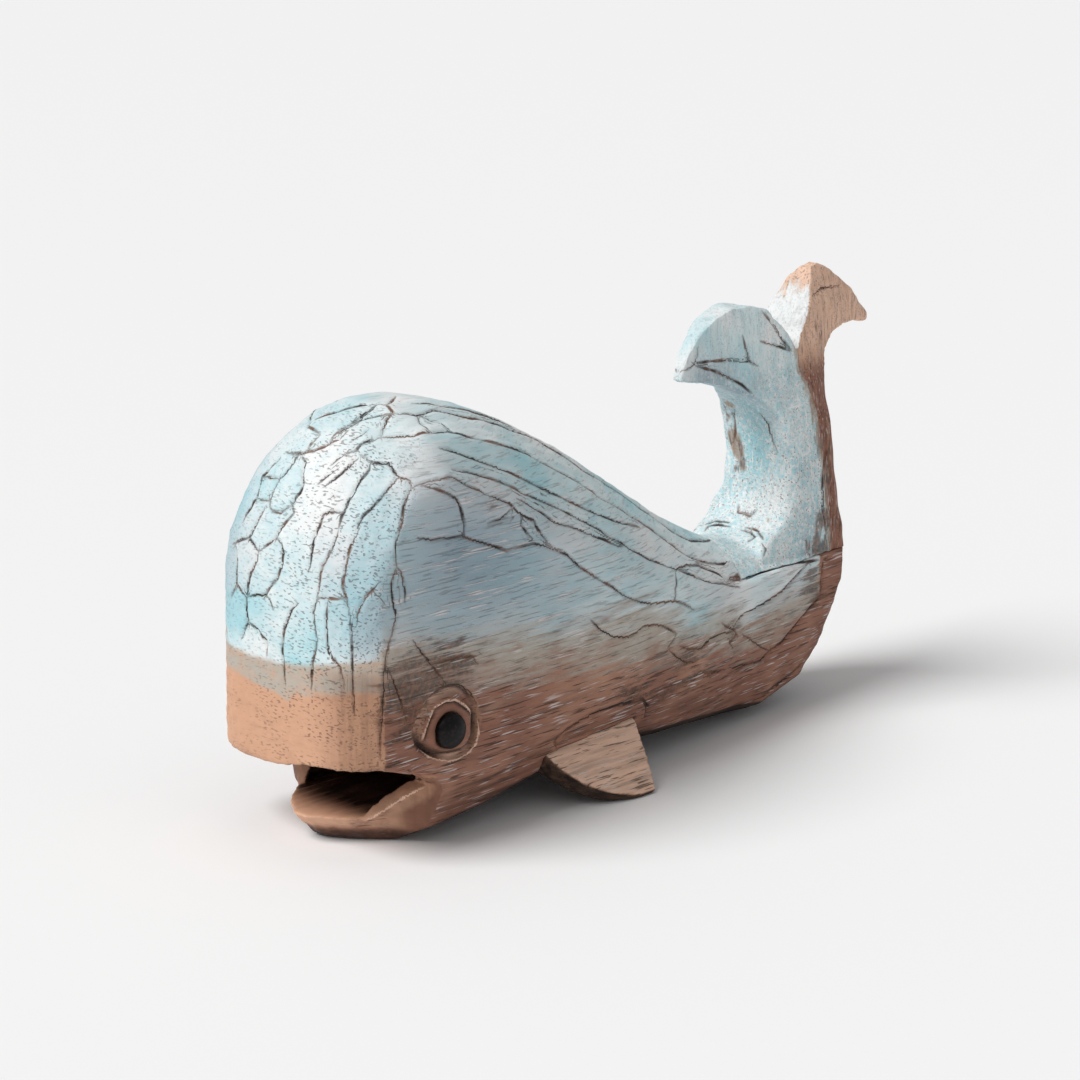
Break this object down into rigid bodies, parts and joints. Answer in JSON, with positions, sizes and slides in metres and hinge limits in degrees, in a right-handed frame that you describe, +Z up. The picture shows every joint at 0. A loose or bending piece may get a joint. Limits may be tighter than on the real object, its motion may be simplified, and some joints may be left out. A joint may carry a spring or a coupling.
{
  "type": "whale figurine",
  "caption": "Hewn wooden whale ornament with an open mouth, bead eyes, side fins and an upswept forked tail, painted pale blue above bare brown wood.",
  "frame": {"origin": "on the table, under the middle of the figure's length and width", "axes": "+X from the snout to the tail, -Y the whale's left side, +Z up"},
  "size_m": [0.155, 0.0536, 0.087],
  "materials": {
    "carved_wood": "hewn open-pored wood, pale blue wash rubbed back above, bare brown below",
    "eye_bead": "black, satin gloss",
    "dowel_wood": "plain turned wood"
  },
  "bodies": {
    "root": {"body": "carved_wood", "tail": "carved_wood", "left_fin": "carved_wood", "right_fin": "carved_wood", "left_eye": "eye_bead", "right_eye": "eye_bead", "tail_dowels": "dowel_wood", "left_fin_dowels": "dowel_wood", "right_fin_dowels": "dowel_wood"}
  },
  "joints": []
}
